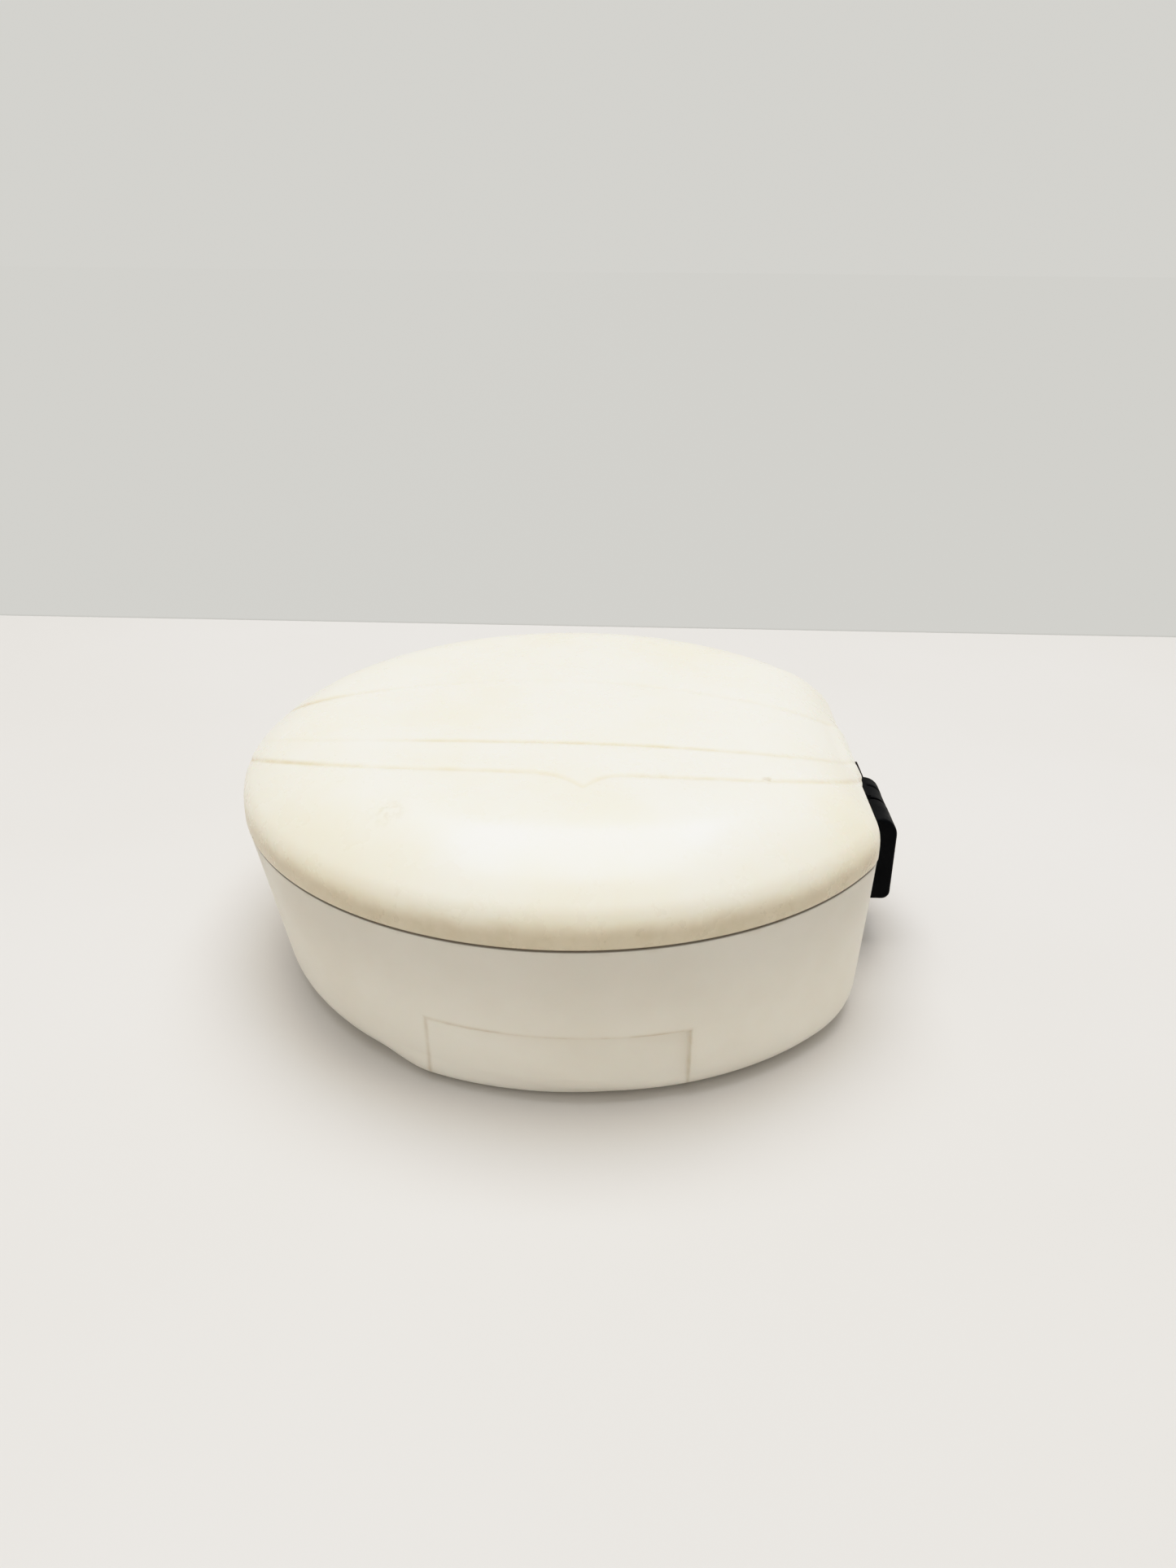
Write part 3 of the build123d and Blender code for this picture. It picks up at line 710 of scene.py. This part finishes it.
def build_layer(name, inset, half):
    """One layer of the mouthguard: its section carried round the arch, with rounded rear ends."""
    start, stop = math.pi / 2, 3 * math.pi / 2
    end_turn = half / GUARD_LENGTH * 1.6
    thetas = np.linspace(start + end_turn, stop - end_turn, 220)

    def ring(theta, at, thin=1.0):
        section = layer_section(theta, inset, half, thin)
        return arch_point(np.full(len(section), at), section[:, 0], section[:, 1])

    def thinned(s):
        return math.sqrt(max(1 - (1 - s) ** 2, 0.0025))

    rings = [ring(thetas[0], start + end_turn * s, thinned(s)) for s in END_STEPS]
    rings += [ring(t, t) for t in thetas]
    rings += [ring(thetas[-1], stop - end_turn * s, thinned(s)) for s in END_STEPS[::-1]]
    return ring_object(name, rings)


# ---------------------------------------------------------------- build and place
lid = build_lid()
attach(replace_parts(lid, "lid_shell"), "lid")
lid.data.materials.append(lid_material())

base = build_base()
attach(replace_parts(base, "base_shell"), "base")
base.data.materials.append(base_material())

shell = build_layer("guard_shell", 0.0, SHELL_HALF)
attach(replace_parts(shell, "mouthguard_shell"), "mouthguard")
shell.data.materials.append(guard_shell_material())
liner = build_layer("guard_liner", 2 * SHELL_HALF + 0.02, LINER_HALF)
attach(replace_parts(liner, "mouthguard_liner"), "mouthguard")
liner.data.materials.append(guard_liner_material())


def refinish(node, material):
    """Gives a CAD node a new material."""
    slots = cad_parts[node].data.materials
    slots.clear()
    slots.append(material)


black, steel = hinge_material(), steel_material()
for node in ("hinge_bracket", "hinge_leaf"):
    refinish(node, black)
for node in ("hinge_pin", "bracket_screws", "leaf_screws"):
    refinish(node, steel)


# ---------------------------------------------------------------- stage, lights, camera
TABLE_END = 0.127         # metres, as all the stage is
STAGE_REACH = 3.0
OVERHEAD_PLACE, OVERHEAD_SIZE, OVERHEAD_WATTS = (0.0, 0.1, 0.75), 0.6, 4.7
FRONT_PLACE, FRONT_WIDTH, FRONT_HEIGHT, FRONT_WATTS = (-0.15, -0.6, 0.7), 1.2, 0.6, 0.65
CAMERA_PLACE = (0.0061, -0.1346, 0.0619 + BASE_TOP * MM)
CAMERA_YAW, CAMERA_PITCH, CAMERA_ROLL = math.radians(-1.85), math.radians(25.0), math.radians(0.51)
CAMERA_SENSOR, CAMERA_LENS = 36.0, 27.03


def floor_material():
    n = Nodes("floor")
    table = n.mix(n.ramp(n.noise(6, 4), 0.3, 0.7), srgb(222, 218, 214), srgb(217, 213, 208))
    n.put(n.shader, Base_Color=table, Roughness=0.6)
    n.bumps((n.noise(900, 4, 0.7), 0.04, 0.0002))
    return n.material


def wall_material():
    n = Nodes("wall")
    n.put(n.shader, Base_Color=(0, 0, 0, 1), Roughness=1.0, Specular_IOR_Level=0.0)
    tone = n.mix(n.ramp(n.axis(0), -0.25, 0.25), srgb(209, 208, 203), srgb(208, 207, 202))
    # Painted shadow: the wall strip glows a little dimmer in a thin line where it meets the table
    foot_shadow = n.ramp(n.axis(1), TABLE_END, TABLE_END + 0.0016, 0.86, 1.0)
    n.put(n.shader, Emission_Color=tone, Emission_Strength=foot_shadow)
    return n.material


def make_floor():
    """A pale table that ends at a straight line, and the wall's colour beyond it."""
    far, end = STAGE_REACH / MM, TABLE_END / MM
    strips = (("table", -far, end, floor_material()), ("wall", end, far, wall_material()))
    for name, low, high, material in strips:
        verts = [(-far, low, 0), (far, low, 0), (far, high, 0), (-far, high, 0)]
        floor = make_object(name, verts, [(0, 1, 2, 3)])
        floor.data.materials.append(material)


def make_world():
    """The wall's tone near the horizon, dimmer above it, and light again overhead."""
    world = bpy.data.worlds.new("world")
    bpy.context.scene.world = world
    world.use_nodes = True
    tree = world.node_tree
    place = tree.nodes.new("ShaderNodeTexCoord")
    axes = tree.nodes.new("ShaderNodeSeparateXYZ")
    ramp = tree.nodes.new("ShaderNodeValToRGB")
    tree.links.new(place.outputs["Generated"], axes.inputs[0])
    tree.links.new(axes.outputs["Z"], ramp.inputs["Fac"])
    tree.links.new(ramp.outputs["Color"], tree.nodes["Background"].inputs["Color"])
    stops = ramp.color_ramp.elements
    wall = srgb(210, 209, 204)
    stops[0].position, stops[0].color = 0.0, wall
    stops[1].position, stops[1].color = 1.0, srgb(230, 229, 226)
    for at, tone in ((0.2, wall), (0.32, srgb(158, 157, 153)), (0.7, srgb(172, 171, 168))):
        stops.new(at).color = tone


def area_light(name, place, target, size, power, size_y=None):
    """A soft rectangular light that faces a point."""
    light = bpy.data.lights.new(name, "AREA")
    light.shape = "RECTANGLE"
    light.size, light.size_y = size, size_y or size
    light.energy = power
    obj = bpy.data.objects.new(name, light)
    bpy.context.scene.collection.objects.link(obj)
    obj.location = place
    obj.rotation_euler = (Vector(target) - Vector(place)).to_track_quat("-Z", "Y").to_euler()


def make_camera():
    """The camera, from its place and its yaw, downward pitch and roll."""
    yaw, pitch, roll = CAMERA_YAW, CAMERA_PITCH, CAMERA_ROLL
    forward = Vector((math.sin(yaw) * math.cos(pitch), math.cos(yaw) * math.cos(pitch), -math.sin(pitch)))
    level = Vector((math.cos(yaw), -math.sin(yaw), 0))
    upright = level.cross(forward)
    right = level * math.cos(roll) + upright * math.sin(roll)
    up = upright * math.cos(roll) - level * math.sin(roll)
    data = bpy.data.cameras.new("camera")
    data.sensor_width, data.lens = CAMERA_SENSOR, CAMERA_LENS
    data.clip_start, data.clip_end = 0.005, 20
    camera = bpy.data.objects.new("camera", data)
    bpy.context.scene.collection.objects.link(camera)
    turn = Matrix((right, up, -forward)).transposed().to_4x4()
    camera.matrix_world = Matrix.Translation(CAMERA_PLACE) @ turn
    bpy.context.scene.camera = camera


def soften_highlights():
    """Rolls the brightest tones off gently instead of clipping them."""
    view = bpy.context.scene.view_settings
    view.view_transform = "Standard"
    view.use_curve_mapping = True
    mapping = view.curve_mapping
    mapping.clip_max_x = 2.0
    curve = mapping.curves[3]
    curve.points[1].location = (2.0, 0.96)
    for place in ((0.4, 0.4), (0.72, 0.72), (0.95, 0.86), (1.25, 0.925)):
        curve.points.new(*place)
    mapping.update()


make_floor()
make_world()
make_camera()
area_light("overhead", OVERHEAD_PLACE, (0, 0, 0), OVERHEAD_SIZE, OVERHEAD_WATTS)
area_light("front", FRONT_PLACE, (0, 0, BASE_TOP * MM), FRONT_WIDTH, FRONT_WATTS, size_y=FRONT_HEIGHT)
soften_highlights()
